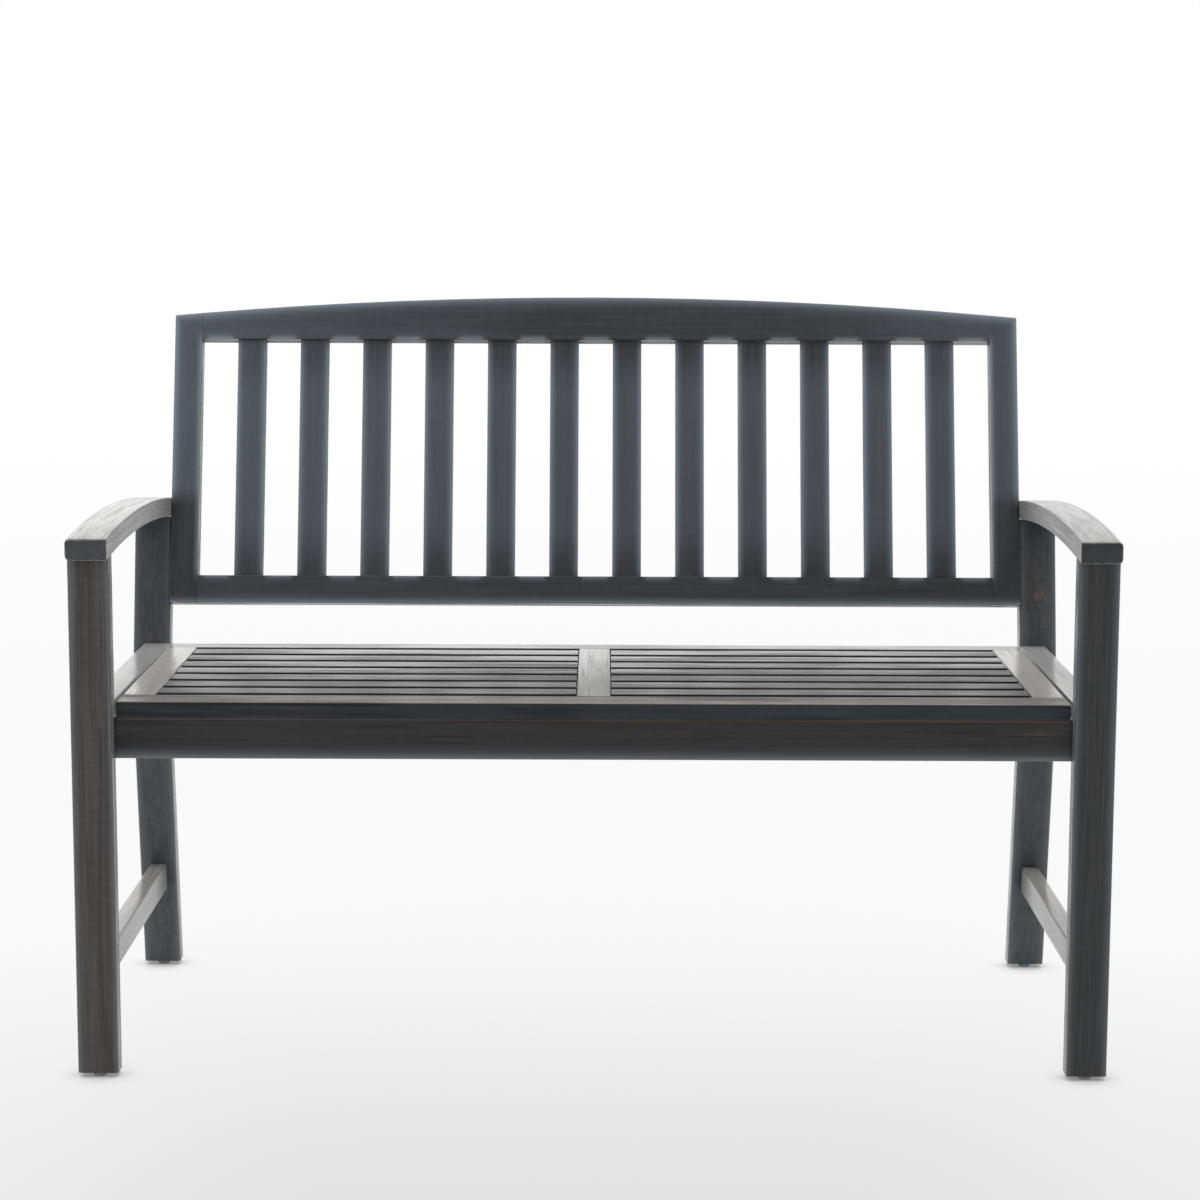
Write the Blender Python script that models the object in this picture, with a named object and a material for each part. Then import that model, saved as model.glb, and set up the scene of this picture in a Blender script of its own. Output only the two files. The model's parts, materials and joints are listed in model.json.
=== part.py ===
"""Outdoor bench with arms: two side frames, a slatted seat panel and a slatted back panel, bolted together.

Metres, +Z up, +X along the bench, +Y towards the back. The origin is on the floor, under the middle of the
bench. Inside the script, y = 0 is the front face of the front legs, and the empty "bench" shifts it all.
"""

import math

import bmesh
import bpy
from mathutils import Vector

# Whole bench
WIDTH = 1.220  # across the outer faces of the legs
SEAT_HEIGHT = 0.450  # floor to the top of the seat
FIT = 0.0003  # gap between two pieces that touch
SEAT_GAP = 0.003  # gap each side of the seat panel
BACK_GAP = 0.0006  # gap each side of the back panel, to the legs and armrests

# Legs
LEG_WIDTH = 0.048  # along X
LEG_DEPTH = 0.028  # front to back
LEG_ROUND = 0.003  # radius of the eased long edges
REAR_FOOT_REACH = 0.0446  # rear leg's front face behind the seat, at floor level
REAR_FOOT_RAKE = math.radians(9.3)  # lower part of the rear leg, splayed to the rear
REAR_LEG_EASE = math.radians(3.25)  # upper part of the rear leg is this much steeper than the back
REAR_LEG_BEHIND = 0.0116  # rear leg's front face behind the back panel's front face, at the bolts
REAR_LEG_BEND = 0.200  # radius of the bend in the front face

# Nail-on glides
GLIDE_RADIUS = 0.008
GLIDE_HEIGHT = 0.006
GLIDE_ROUND = 0.001
NAIL_RADIUS = 0.00125
NAIL_LENGTH = 0.016

# Armrests
ARM_RISE = 0.2047  # crest of the armrest above the seat
ARM_WIDTH = 0.049
ARM_LIP = 0.0005  # overhang past the inner faces of the legs
ARM_THICK = 0.025
ARM_RADIUS = 2.66  # radius of the arched top
ARM_CREST = 0.215  # crest behind the front legs' front face
ARM_NOSE = 0.014  # overhang in front of the front legs
ARM_TAIL = 0.006  # overhang behind the rear legs
ARM_OUTER_ROUND = 0.005  # radius of its nose, tail and outer edges
ARM_INNER_ROUND = 0.0015  # and of its edges on the sitter's side

# Side rails and stretchers
SIDE_RAIL_WIDTH = 0.034
SIDE_RAIL_HEIGHT = 0.065
STRETCHER_WIDTH = 0.022
STRETCHER_HEIGHT = 0.035
STRETCHER_LIFT = 0.111  # floor to the underside
RAIL_ROUND = 0.002

# Seat panel and aprons
SEAT_SETBACK = 0.015  # seat's front edge behind the legs' front face
SEAT_DEPTH = 0.445
SEAT_THICK = 0.0205
SEAT_FRONT_RAIL = 0.053
SEAT_REAR_RAIL = 0.034
SEAT_BOARD = 0.038  # width of the end boards
SEAT_CENTRE_BOARD = 0.0405
SEAT_SLATS = 7  # in each half
SEAT_SLAT_WIDTH = 0.0365
SEAT_SLAT_THICK = 0.013
SEAT_SLAT_SHOULDER = 0.001  # gap between a slat's end and the board it is tenoned into
SEAT_SLAT_ROUND = 0.001
SEAT_ROUND = 0.0015
APRON_HEIGHT = 0.0465
APRON_THICK = 0.020
APRON_SETBACK = 0.0015  # apron's face behind the seat's edge

# Back panel, measured up along its own slope
RECLINE = math.radians(15.05)
BACK_LIFT = 0.0555  # seat to the back panel's lower front edge
BACK_LAP = 0.0053  # that edge in front of the seat's rear edge
BACK_THICK = 0.028
STILE_WIDTH = 0.0359
BOTTOM_RAIL_HEIGHT = 0.0364
BACK_OPENING = 0.3178  # clear height between the rails
TOP_RAIL_END = 0.0319  # height of the top rail at the corners
TOP_RAIL_RISE = 0.0260  # how much its arch adds at the middle
BACK_SLATS = 12
BACK_SLAT_WIDTH = 0.038
BACK_SLAT_THICK = 0.0125
BACK_END_GAP = 0.0475  # between a stile and the first slat
BACK_ROUND = 0.0015
SLAT_ROUND = 0.002

# Mortise and tenon joints
TENON_ROOT = 0.004  # how far a tenon runs back into its own piece
LEG_TENON = Vector((0.028, 0.012, 0.014))  # top of a leg, into the armrest
RAIL_TENON = Vector((0.012, 0.016, 0.036))  # side rail into a leg
STRETCHER_TENON = Vector((0.010, 0.012, 0.022))
BOARD_TENON = Vector((0.025, 0.014, 0.008))  # seat board into a seat rail
SEAT_SLAT_TENON = Vector((0.010, 0.026, 0.006))
STILE_TENON = Vector((0.020, 0.012, 0.020))  # back rail into a stile
BACK_SLAT_TENON = Vector((0.028, 0.0065, 0.012))
TONGUE = Vector((0.020, 0.006, 0.006))  # apron into the seat: end margin, thickness, height

# Bolts with a sunk socket head
BOLT_RADIUS = 0.003
BOLT_HEAD_RADIUS = 0.005
BOLT_HEAD_HEIGHT = 0.006
BOLT_SINK = 0.001  # head below the surface of the wood
BOLT_BITE = 0.025  # length held in the panel
BOLT_CHAMFER = 0.0006
SOCKET_FLAT = 0.0025  # half the distance across the flats
SOCKET_DEPTH = 0.003
BACK_BOLT_LIFT = 0.0136  # lower bolt above the back's bottom rail
BACK_BOLT_PITCH = 0.045  # between the two bolts of a side
SEAT_BOLT_INSET = 0.085  # from the seat's front and rear edges

# Smoothness of round shapes
ARC_STEPS = 16
BEND_STEPS = 8
EDGE_STEPS = 2
BOLT_SIDES = 12
GLIDE_SIDES = 16
SHARP_EDGE = math.radians(30)  # an edge that turns more than this is eased
SMOOTH_EDGE = math.radians(50)  # an edge that turns less than this is shaded smooth
PARALLEL = 0.95  # cosine between an edge and the axis it counts as running along
SETTLE_ROUNDS = 20  # rounds of the search for where a rear leg meets its armrest

# Places that follow from the sizes above
LEG_OUTER = WIDTH / 2
LEG_INNER = LEG_OUTER - LEG_WIDTH
LEG_MIDDLE = (LEG_OUTER + LEG_INNER) / 2
ARM_INNER = LEG_INNER - ARM_LIP
SEAT_HALF = LEG_INNER - SEAT_GAP
BACK_HALF = ARM_INNER - BACK_GAP
SEAT_REAR = SEAT_SETBACK + SEAT_DEPTH
SEAT_UNDER = SEAT_HEIGHT - SEAT_THICK
ARM_TOP = SEAT_HEIGHT + ARM_RISE
BACK_FOOT = Vector((0, SEAT_REAR - BACK_LAP, SEAT_HEIGHT + BACK_LIFT))
BACK_UP = Vector((0, math.sin(RECLINE), math.cos(RECLINE)))
BACK_REARWARD = Vector((0, math.cos(RECLINE), -math.sin(RECLINE)))
TOP_RAIL_FOOT = BOTTOM_RAIL_HEIGHT + BACK_OPENING
BACK_CROWN = TOP_RAIL_FOOT + TOP_RAIL_END + TOP_RAIL_RISE
STILE_INNER = BACK_HALF - STILE_WIDTH
LEG_RAKE = RECLINE - REAR_LEG_EASE
LOWER_BOLT = BOTTOM_RAIL_HEIGHT + BACK_BOLT_LIFT
BACK_BOLTS = {"lower": LOWER_BOLT, "upper": LOWER_BOLT + BACK_BOLT_PITCH}

SIDES = {"left": -1, "right": 1}
tenons = {}
mortises = {}


def clear_scene():
    for obj in list(bpy.data.objects):
        bpy.data.objects.remove(obj, do_unlink=True)


def material(name, colour, roughness, metallic=0.0):
    made = bpy.data.materials.new(name)
    made.use_nodes = True
    shader = made.node_tree.nodes["Principled BSDF"]
    shader.inputs["Base Color"].default_value = (*colour, 1.0)
    shader.inputs["Roughness"].default_value = roughness
    shader.inputs["Metallic"].default_value = metallic
    return made


def empty(name, location, parent=None):
    made = bpy.data.objects.new(name, None)
    made.location = location
    made.parent = parent
    bpy.context.scene.collection.objects.link(made)
    return made


def piece(name, bm, parent, finish, location=(0, 0, 0)):
    """One object of the bench from a bmesh, which it uses up."""
    bmesh.ops.recalc_face_normals(bm, faces=bm.faces)
    mesh = bpy.data.meshes.new(name)
    bm.to_mesh(mesh)
    bm.free()
    mesh.shade_smooth()
    mesh.set_sharp_from_angle(angle=SMOOTH_EDGE)
    mesh.materials.append(finish)
    made = bpy.data.objects.new(name, mesh)
    made.location = location
    made.parent = parent
    bpy.context.scene.collection.objects.link(made)
    return made


def add_box(bm, low, high):
    made = bmesh.ops.create_cube(bm, size=1.0)
    low, high = Vector(low), Vector(high)
    bmesh.ops.scale(bm, vec=high - low, verts=made["verts"])
    bmesh.ops.translate(bm, vec=(low + high) / 2, verts=made["verts"])


def prism(outline, axis, low, high):
    """A bmesh of an outline swept along an axis; its two coordinates are the other axes, in X, Y, Z order."""
    bm = bmesh.new()
    rims = []
    for level in (low, high):
        points = [(*point[:axis], level, *point[axis:]) for point in outline]
        rims.append([bm.verts.new(point) for point in points])
        bm.faces.new(rims[-1])
    for i in range(len(outline)):
        j = (i + 1) % len(outline)
        bm.faces.new((rims[0][i], rims[0][j], rims[1][j], rims[1][i]))
    bmesh.ops.recalc_face_normals(bm, faces=bm.faces)
    return bm


def runs_along(edge, axis):
    direction = (edge.verts[0].co - edge.verts[1].co).normalized()
    return abs(direction[axis]) > PARALLEL


def edges_at(bm, axis, level):
    """The edges of a bmesh that lie in the plane where this coordinate has this value."""
    return {edge for edge in bm.edges if all(abs(vert.co[axis] - level) < FIT for vert in edge.verts)}


def round_edges(bm, edges, radius):
    bmesh.ops.bevel(
        bm, geom=list(edges), offset=radius, segments=EDGE_STEPS, profile=0.5, affect="EDGES",
        clamp_overlap=True,
    )


def ease_edges(bm, radius, along=None, kept=()):
    """Rounds the sharp edges of a bmesh, or only those that run along one axis, apart from the kept ones."""
    edges = [edge for edge in bm.edges if edge.calc_face_angle() > SHARP_EDGE and edge not in kept]
    if along is not None:
        edges = [edge for edge in edges if runs_along(edge, along)]
    round_edges(bm, edges, radius)
    return bm


def board(name, low, high, radius, parent, finish, along=None, crisp=0):
    """A straight board with eased edges. Its upper ones stay crisp if crisp is 1, its lower ones if -1."""
    low, high = Vector(low), Vector(high)
    half = (high - low) / 2
    bm = bmesh.new()
    add_box(bm, -half, half)
    kept = edges_at(bm, 2, crisp * half.z)
    return piece(name, ease_edges(bm, radius, along, kept), parent, finish, (low + high) / 2)


def turned(rings, sides):
    """A bmesh turned about Z. A ring is height, radius, is_hexagon; a hexagon's radius is to its flats."""
    bm = bmesh.new()
    loops = []
    for height, radius, is_hexagon in rings:
        loop = []
        for step in range(sides):
            angle = 2 * math.pi * step / sides
            reach = radius
            if is_hexagon:
                reach /= math.cos(angle % (math.pi / 3) - math.pi / 6)
            loop.append(bm.verts.new((reach * math.cos(angle), reach * math.sin(angle), height)))
        loops.append(loop)
    for lower, upper in zip(loops, loops[1:]):
        for i in range(sides):
            j = (i + 1) % sides
            bm.faces.new((lower[i], lower[j], upper[j], upper[i]))
    bm.faces.new(loops[0])
    bm.faces.new(loops[-1])
    return bm


def helper(name, bm, parent):
    """A hidden object that a Boolean joins to a piece or cuts from it."""
    bmesh.ops.recalc_face_normals(bm, faces=bm.faces)
    mesh = bpy.data.meshes.new(name)
    bm.to_mesh(mesh)
    bm.free()
    made = bpy.data.objects.new(name, mesh)
    made.parent = parent
    made.hide_render = True
    made.display_type = "WIRE"
    bpy.context.scene.collection.objects.link(made)
    return made


def boolean(obj, operation, other):
    modifier = obj.modifiers.new(other.name, "BOOLEAN")
    modifier.operation = operation
    modifier.solver = "EXACT"
    modifier.object = other


def joint(owner, host, low, high):
    """Notes a tenon on one piece and its mortise in another, as a box in their parent's frame."""
    low, high = Vector(low), Vector(high)
    margin = Vector((FIT, FIT, FIT))
    tenons.setdefault(owner, []).append((low, high))
    mortises.setdefault(host, []).append((low - margin, high + margin))


def cut_joints():
    """Joins each piece's tenons to it, then cuts its mortises."""
    for boxes_of, operation, word in ((tenons, "UNION", "tenons"), (mortises, "DIFFERENCE", "mortises")):
        for obj, boxes in boxes_of.items():
            bm = bmesh.new()
            for low, high in boxes:
                add_box(bm, low, high)
            boolean(obj, operation, helper(f"{obj.name}_{word}", bm, obj.parent))


def arm_surface(y, depth):
    """Height of the armrest's arched surface at y, this deep below its top."""
    return ARM_TOP - ARM_RADIUS + math.sqrt((ARM_RADIUS - depth) ** 2 - (y - ARM_CREST) ** 2)


def rear_leg_bend():
    """Middle of the bend's circle in the side view, which touches both straight lines of the front face."""
    bolt_middle = LOWER_BOLT + BACK_BOLT_PITCH / 2
    upper = BACK_FOOT + bolt_middle * BACK_UP + REAR_LEG_BEHIND * BACK_REARWARD
    lower_y = SEAT_REAR + REAR_FOOT_REACH
    slopes = math.tan(REAR_FOOT_RAKE) + math.tan(LEG_RAKE)
    corner_z = (lower_y - upper.y + upper.z * math.tan(LEG_RAKE)) / slopes
    corner_y = lower_y - corner_z * math.tan(REAR_FOOT_RAKE)
    reach = REAR_LEG_BEND / math.cos((REAR_FOOT_RAKE + LEG_RAKE) / 2)
    turn = (REAR_FOOT_RAKE - LEG_RAKE) / 2
    return corner_y + reach * math.cos(turn), corner_z + reach * math.sin(turn)


def rear_leg_arc(turn, depth):
    """Point of the bend where the normal has turned this far from level, this deep behind the front face."""
    middle_y, middle_z = rear_leg_bend()
    radius = REAR_LEG_BEND - depth
    return middle_y - radius * math.cos(turn), middle_z - radius * math.sin(turn)


def rear_leg_y(z, depth=0.0):
    """Where the rear leg's front face is at height z, or a line this deep behind it."""
    low_y, low_z = rear_leg_arc(REAR_FOOT_RAKE, depth)
    high_y, high_z = rear_leg_arc(-LEG_RAKE, depth)
    if z <= low_z:
        return low_y + (low_z - z) * math.tan(REAR_FOOT_RAKE)
    if z >= high_z:
        return high_y + (z - high_z) * math.tan(LEG_RAKE)
    middle_y, middle_z = rear_leg_bend()
    return middle_y - math.sqrt((REAR_LEG_BEND - depth) ** 2 - (z - middle_z) ** 2)


def rear_leg_top(depth):
    """Height where that line of the rear leg meets the armrest's underside."""
    z = ARM_TOP - ARM_THICK
    for _ in range(SETTLE_ROUNDS):
        z = arm_surface(rear_leg_y(z, depth), ARM_THICK) - FIT
    return z


def rear_leg_outline():
    turns = [REAR_FOOT_RAKE - (REAR_FOOT_RAKE + LEG_RAKE) * i / BEND_STEPS for i in range(BEND_STEPS + 1)]
    faces = []
    for depth in (0.0, LEG_DEPTH):
        top = rear_leg_top(depth)
        foot = [(rear_leg_y(GLIDE_HEIGHT, depth), GLIDE_HEIGHT)]
        arc = [rear_leg_arc(turn, depth) for turn in turns]
        faces.append(foot + arc + [(rear_leg_y(top, depth), top)])
    return faces[0] + faces[1][::-1]


def back_point(up, rearward):
    """World place of a point of the back panel, from its slope's own measures."""
    return BACK_FOOT + up * BACK_UP + rearward * BACK_REARWARD


def top_arch(x):
    """Height up the back panel of the arched top edge."""
    radius = (BACK_HALF**2 + TOP_RAIL_RISE**2) / (2 * TOP_RAIL_RISE)
    return BACK_CROWN - radius + math.sqrt(radius**2 - x**2)


def legs(bench, side, sign, finish):
    """The front and rear leg of one side, and the tenon on top of each."""
    inner, outer = sorted((sign * LEG_INNER, sign * LEG_OUTER))
    front_outline = [
        (0, GLIDE_HEIGHT),
        (LEG_DEPTH, GLIDE_HEIGHT),
        (LEG_DEPTH, arm_surface(LEG_DEPTH, ARM_THICK) - FIT),
        (0, arm_surface(0, ARM_THICK) - FIT),
    ]
    front_bm = ease_edges(prism(front_outline, 0, inner, outer), LEG_ROUND, along=2)
    rear_bm = ease_edges(prism(rear_leg_outline(), 0, inner, outer), LEG_ROUND, along=2)
    front = piece(f"front_leg_{side}", front_bm, bench, finish)
    rear = piece(f"rear_leg_{side}", rear_bm, bench, finish)
    return front, rear


def armrest(bench, side, sign, front, rear, finish):
    tail = rear_leg_y(rear_leg_top(LEG_DEPTH), LEG_DEPTH) + ARM_TAIL
    stations = [-ARM_NOSE + (tail + ARM_NOSE) * i / ARC_STEPS for i in range(ARC_STEPS + 1)]
    top = [(y, arm_surface(y, 0)) for y in stations]
    under = [(y, arm_surface(y, ARM_THICK)) for y in stations]
    inner, outer = sign * ARM_INNER, sign * (ARM_INNER + ARM_WIDTH)
    bm = prism(top + under[::-1], 0, min(inner, outer), max(inner, outer))
    ease_edges(bm, ARM_OUTER_ROUND, kept=edges_at(bm, 0, inner))
    round_edges(bm, edges_at(bm, 0, inner), ARM_INNER_ROUND)
    arm = piece(f"armrest_{side}", bm, bench, finish)
    rear_top = rear_leg_top(LEG_DEPTH / 2)
    for leg, y in ((front, LEG_DEPTH / 2), (rear, rear_leg_y(rear_top, LEG_DEPTH / 2))):
        base = Vector((sign * LEG_MIDDLE, y, arm_surface(y, ARM_THICK)))
        half = Vector((LEG_TENON.x / 2, LEG_TENON.y / 2, 0))
        rise = Vector((0, 0, LEG_TENON.z))
        root = Vector((0, 0, TENON_ROOT))
        joint(leg, arm, base - half - root, base + half + rise)
    return arm


def leg_rail(name, bench, front, rear, x_middle, size, z_low, tenon, finish):
    """A rail tenoned into both legs. Its rear end follows the leg's slope, so that root is twice as deep."""
    width, height = size
    z_high = z_low + height
    levels = [z_low + height * i / BEND_STEPS for i in range(BEND_STEPS + 1)]
    rear_end = [(rear_leg_y(z) - FIT, z) for z in levels]
    outline = [(LEG_DEPTH + FIT, z_high), (LEG_DEPTH + FIT, z_low)] + rear_end
    bm = ease_edges(prism(outline, 0, x_middle - width / 2, x_middle + width / 2), RAIL_ROUND, along=1)
    rail = piece(name, bm, bench, finish)
    z_middle = (z_low + z_high) / 2
    half = Vector((tenon.x / 2, 0, tenon.z / 2))
    rear_face = rear_leg_y(z_middle)
    near = Vector((x_middle, LEG_DEPTH - tenon.y, z_middle))
    far = Vector((x_middle, rear_face + tenon.y, z_middle))
    joint(rail, front, near - half, near + half + Vector((0, tenon.y + TENON_ROOT, 0)))
    joint(rail, rear, far - half - Vector((0, tenon.y + 2 * TENON_ROOT, 0)), far + half)
    return rail


def glide(name, bench, leg, x, y, finish):
    """A nail-on foot under a leg, and the hole for its nail."""
    top = GLIDE_HEIGHT - FIT
    tip = top + NAIL_LENGTH
    rings = [
        (0, GLIDE_RADIUS - GLIDE_ROUND, False),
        (GLIDE_ROUND, GLIDE_RADIUS, False),
        (top, GLIDE_RADIUS, False),
        (top, NAIL_RADIUS, False),
        (tip - NAIL_RADIUS, NAIL_RADIUS, False),
        (tip, NAIL_RADIUS / 2, False),
    ]
    piece(name, turned(rings, GLIDE_SIDES), bench, finish, (x, y, 0))
    hole = NAIL_RADIUS + FIT
    cutter = turned([(0, hole, False), (tip + FIT, hole, False)], GLIDE_SIDES)
    bmesh.ops.translate(cutter, vec=(x, y, 0), verts=cutter.verts)
    boolean(leg, "DIFFERENCE", helper(f"{name}_hole", cutter, bench))


def side_frame(bench, side, sign, wood, plastic):
    """Legs, armrest, side rail, stretcher and glides of one side."""
    front, rear = legs(bench, side, sign, wood)
    armrest(bench, side, sign, front, rear, wood)
    rail_middle = sign * (LEG_INNER + SIDE_RAIL_WIDTH / 2)
    rail = leg_rail(
        f"side_rail_{side}", bench, front, rear, rail_middle, (SIDE_RAIL_WIDTH, SIDE_RAIL_HEIGHT),
        SEAT_HEIGHT - SIDE_RAIL_HEIGHT, RAIL_TENON, wood,
    )
    leg_rail(
        f"side_stretcher_{side}", bench, front, rear, sign * LEG_MIDDLE, (STRETCHER_WIDTH, STRETCHER_HEIGHT),
        STRETCHER_LIFT, STRETCHER_TENON, wood,
    )
    rear_foot = (rear_leg_y(GLIDE_HEIGHT) + rear_leg_y(GLIDE_HEIGHT, LEG_DEPTH)) / 2
    glide(f"glide_front_{side}", bench, front, sign * LEG_MIDDLE, LEG_DEPTH / 2, plastic)
    glide(f"glide_rear_{side}", bench, rear, sign * LEG_MIDDLE, rear_foot, plastic)
    return rear, rail


def seat_panel(bench, wood):
    """The seat's frame and slats. Returns the end boards by side."""
    clear_front = SEAT_SETBACK + SEAT_FRONT_RAIL
    clear_rear = SEAT_REAR - SEAT_REAR_RAIL
    rails = {}
    for name, y_low, y_high in (
        ("seat_front_rail", SEAT_SETBACK, clear_front),
        ("seat_rear_rail", clear_rear, SEAT_REAR),
    ):
        low, high = (-SEAT_HALF, y_low, SEAT_UNDER), (SEAT_HALF, y_high, SEAT_HEIGHT)
        rails[name] = board(name, low, high, SEAT_ROUND, bench, wood, crisp=-1)
    ends = {"left": -SEAT_HALF + SEAT_BOARD / 2, "right": SEAT_HALF - SEAT_BOARD / 2}
    boards = {}
    for name, x, width in (
        ("seat_end_board_left", ends["left"], SEAT_BOARD),
        ("seat_centre_board", 0.0, SEAT_CENTRE_BOARD),
        ("seat_end_board_right", ends["right"], SEAT_BOARD),
    ):
        boards[name] = seat_board(name, x, width, clear_front, clear_rear, rails, bench, wood)
    inner_end = SEAT_HALF - SEAT_BOARD
    gap = (clear_rear - clear_front - SEAT_SLATS * SEAT_SLAT_WIDTH) / (SEAT_SLATS + 1)
    for side, sign in SIDES.items():
        x_low, x_high = sorted((sign * SEAT_CENTRE_BOARD / 2, sign * inner_end))
        for i in range(SEAT_SLATS):
            y_low = clear_front + gap + i * (SEAT_SLAT_WIDTH + gap)
            name = f"seat_slat_{side}_{i + 1}"
            slat = seat_slat(name, x_low, x_high, y_low, bench, wood)
            hosts = [boards["seat_centre_board"], boards[f"seat_end_board_{side}"]]
            hosts = hosts if sign > 0 else hosts[::-1]
            slat_tenons(slat, hosts, x_low, x_high, y_low + SEAT_SLAT_WIDTH / 2)
    return rails, {side: boards[f"seat_end_board_{side}"] for side in SIDES}


def seat_board(name, x, width, clear_front, clear_rear, rails, bench, wood):
    """A board across the seat, tenoned into the front and rear rails."""
    half = width / 2
    low = (x - half, clear_front + FIT, SEAT_UNDER)
    made = board(name, low, (x + half, clear_rear - FIT, SEAT_HEIGHT), SEAT_ROUND, bench, wood, along=1)
    z_middle = (SEAT_UNDER + SEAT_HEIGHT) / 2
    low = Vector((x - BOARD_TENON.x / 2, 0, z_middle - BOARD_TENON.z / 2))
    high = Vector((x + BOARD_TENON.x / 2, 0, z_middle + BOARD_TENON.z / 2))
    reach = Vector((0, BOARD_TENON.y, 0))
    root = Vector((0, TENON_ROOT, 0))
    front = Vector((0, clear_front, 0))
    rear = Vector((0, clear_rear, 0))
    joint(made, rails["seat_front_rail"], low + front - reach, high + front + root)
    joint(made, rails["seat_rear_rail"], low + rear - root, high + rear + reach)
    return made


def seat_slat(name, x_low, x_high, y_low, bench, wood):
    """A slat between two boards of the seat, a shoulder's gap short of each."""
    low = (x_low + SEAT_SLAT_SHOULDER, y_low, SEAT_HEIGHT - SEAT_SLAT_THICK)
    high = (x_high - SEAT_SLAT_SHOULDER, y_low + SEAT_SLAT_WIDTH, SEAT_HEIGHT)
    return board(name, low, high, SEAT_SLAT_ROUND, bench, wood, along=0)


def slat_tenons(slat, hosts, x_low, x_high, y_middle):
    """Tenons at both ends of a seat slat, into the boards it runs between."""
    z_middle = SEAT_HEIGHT - SEAT_SLAT_THICK / 2
    half = Vector((0, SEAT_SLAT_TENON.y / 2, SEAT_SLAT_TENON.z / 2))
    reach = Vector((SEAT_SLAT_TENON.x, 0, 0))
    root = Vector((SEAT_SLAT_SHOULDER + TENON_ROOT, 0, 0))
    start = Vector((x_low, y_middle, z_middle))
    end = Vector((x_high, y_middle, z_middle))
    joint(slat, hosts[0], start - reach - half, start + root + half)
    joint(slat, hosts[1], end - root - half, end + reach + half)


def apron(name, y_low, seat_rail, bench, wood):
    """A deep rail under the seat's edge, with a tongue in a groove under the seat rail."""
    reach = LEG_INNER - FIT
    top = SEAT_UNDER - FIT
    low = (-reach, y_low, top - APRON_HEIGHT)
    high = (reach, y_low + APRON_THICK, top)
    made = board(name, low, high, RAIL_ROUND, bench, wood, along=0, crisp=1)
    half = Vector((SEAT_HALF - TONGUE.x, TONGUE.y / 2, 0))
    base = Vector((0, y_low + APRON_THICK / 2, SEAT_UNDER))
    joint(made, seat_rail, base - half - Vector((0, 0, TENON_ROOT)), base + half + Vector((0, 0, TONGUE.z)))


def back_panel(back, wood):
    """The reclined back: stiles, with crisp edges where the rails join them, rails and upright slats."""
    stiles = {}
    for side, sign in SIDES.items():
        outer, inner = sign * BACK_HALF, sign * STILE_INNER
        outline = [(outer, 0), (inner, 0), (inner, top_arch(inner)), (outer, top_arch(outer))]
        bm = prism(outline, 1, 0, BACK_THICK)
        ease_edges(bm, BACK_ROUND, kept=edges_at(bm, 0, inner))
        stiles[side] = piece(f"back_stile_{side}", bm, back, wood)
    reach = STILE_INNER - FIT
    low, high = (-reach, 0, 0), (reach, BACK_THICK, BOTTOM_RAIL_HEIGHT)
    bottom = board("back_bottom_rail", low, high, BACK_ROUND, back, wood, along=0)
    arch = [reach - 2 * reach * i / ARC_STEPS for i in range(ARC_STEPS + 1)]
    outline = [(-reach, TOP_RAIL_FOOT), (reach, TOP_RAIL_FOOT)] + [(x, top_arch(x)) for x in arch]
    bm = prism(outline, 1, 0, BACK_THICK)
    ends = edges_at(bm, 0, -reach) | edges_at(bm, 0, reach)
    top = piece("back_top_rail", ease_edges(bm, BACK_ROUND, kept=ends), back, wood)
    for rail, middle in ((bottom, BOTTOM_RAIL_HEIGHT / 2), (top, TOP_RAIL_FOOT + TOP_RAIL_END / 2)):
        rail_tenons(rail, stiles, middle)
    back_slats(back, bottom, top, wood)
    return stiles


def rail_tenons(rail, stiles, middle):
    """Tenons at both ends of a back rail, into the stiles."""
    half = Vector((0, STILE_TENON.y / 2, STILE_TENON.z / 2))
    for side, sign in SIDES.items():
        base = Vector((sign * STILE_INNER, BACK_THICK / 2, middle))
        root = Vector((-sign * TENON_ROOT, 0, 0))
        tip = Vector((sign * STILE_TENON.x, 0, 0))
        low_end, high_end = (root, tip) if sign > 0 else (tip, root)
        joint(rail, stiles[side], base + low_end - half, base + high_end + half)


def back_slats(back, bottom, top, wood):
    first = -STILE_INNER + BACK_END_GAP + BACK_SLAT_WIDTH / 2
    pitch = -2 * first / (BACK_SLATS - 1)
    y_middle = BACK_THICK / 2
    size = Vector((BACK_SLAT_WIDTH / 2, BACK_SLAT_THICK / 2, 0))
    half = Vector((BACK_SLAT_TENON.x / 2, BACK_SLAT_TENON.y / 2, 0))
    reach = Vector((0, 0, BACK_SLAT_TENON.z))
    root = Vector((0, 0, TENON_ROOT))
    for i in range(BACK_SLATS):
        foot = Vector((first + i * pitch, y_middle, BOTTOM_RAIL_HEIGHT))
        head = Vector((foot.x, y_middle, TOP_RAIL_FOOT))
        gap = Vector((0, 0, FIT))
        name = f"back_slat_{i + 1:02d}"
        slat = board(name, foot - size + gap, head + size - gap, SLAT_ROUND, back, wood, along=2)
        joint(slat, bottom, foot - reach - half, foot + root + half)
        joint(slat, top, head - root - half, head + reach + half)


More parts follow.
